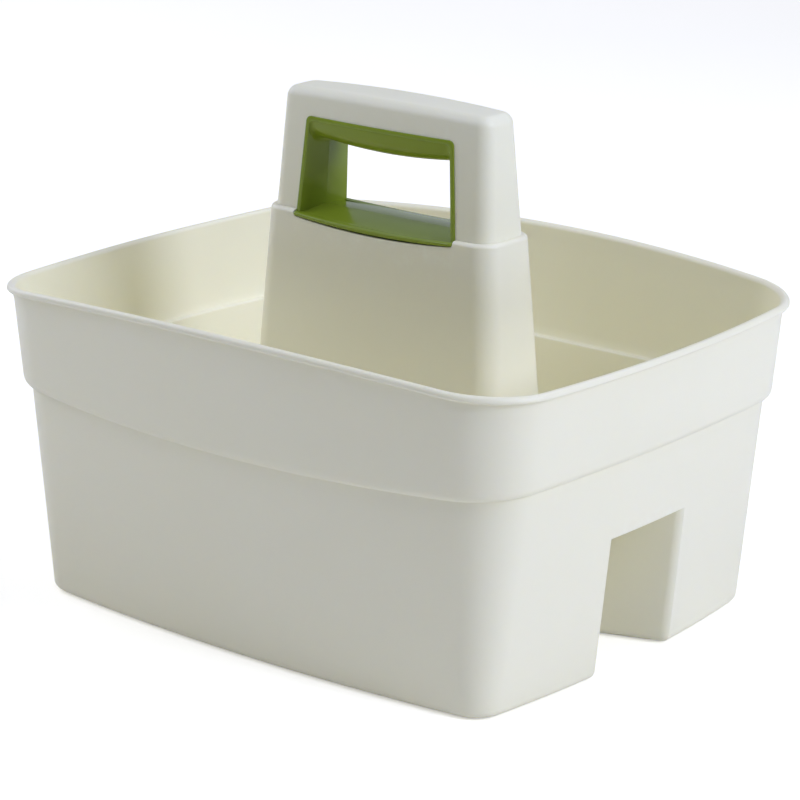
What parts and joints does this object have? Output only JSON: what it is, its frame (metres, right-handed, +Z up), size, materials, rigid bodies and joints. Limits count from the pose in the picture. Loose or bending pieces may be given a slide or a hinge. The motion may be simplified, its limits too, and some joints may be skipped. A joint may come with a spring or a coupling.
{
  "type": "cleaning caddy",
  "caption": "Open divided cleaning caddy tub with a hollow central tower handle and a contrasting hand-hole grip liner.",
  "frame": {"origin": "centre of the base, on the surface the caddy stands on", "axes": "+X along the longer side, +Y towards the back, +Z up"},
  "size_m": [0.3678, 0.3032, 0.2782],
  "materials": {
    "tub_plastic": "satin warm-white moulded polypropylene",
    "handle_plastic": "satin warm-white moulded polypropylene",
    "grip_plastic": "satin olive-green moulded plastic"
  },
  "bodies": {
    "root": {"tub": "tub_plastic", "handle": "handle_plastic", "grip_front": "grip_plastic", "grip_rear": "grip_plastic"}
  },
  "joints": []
}
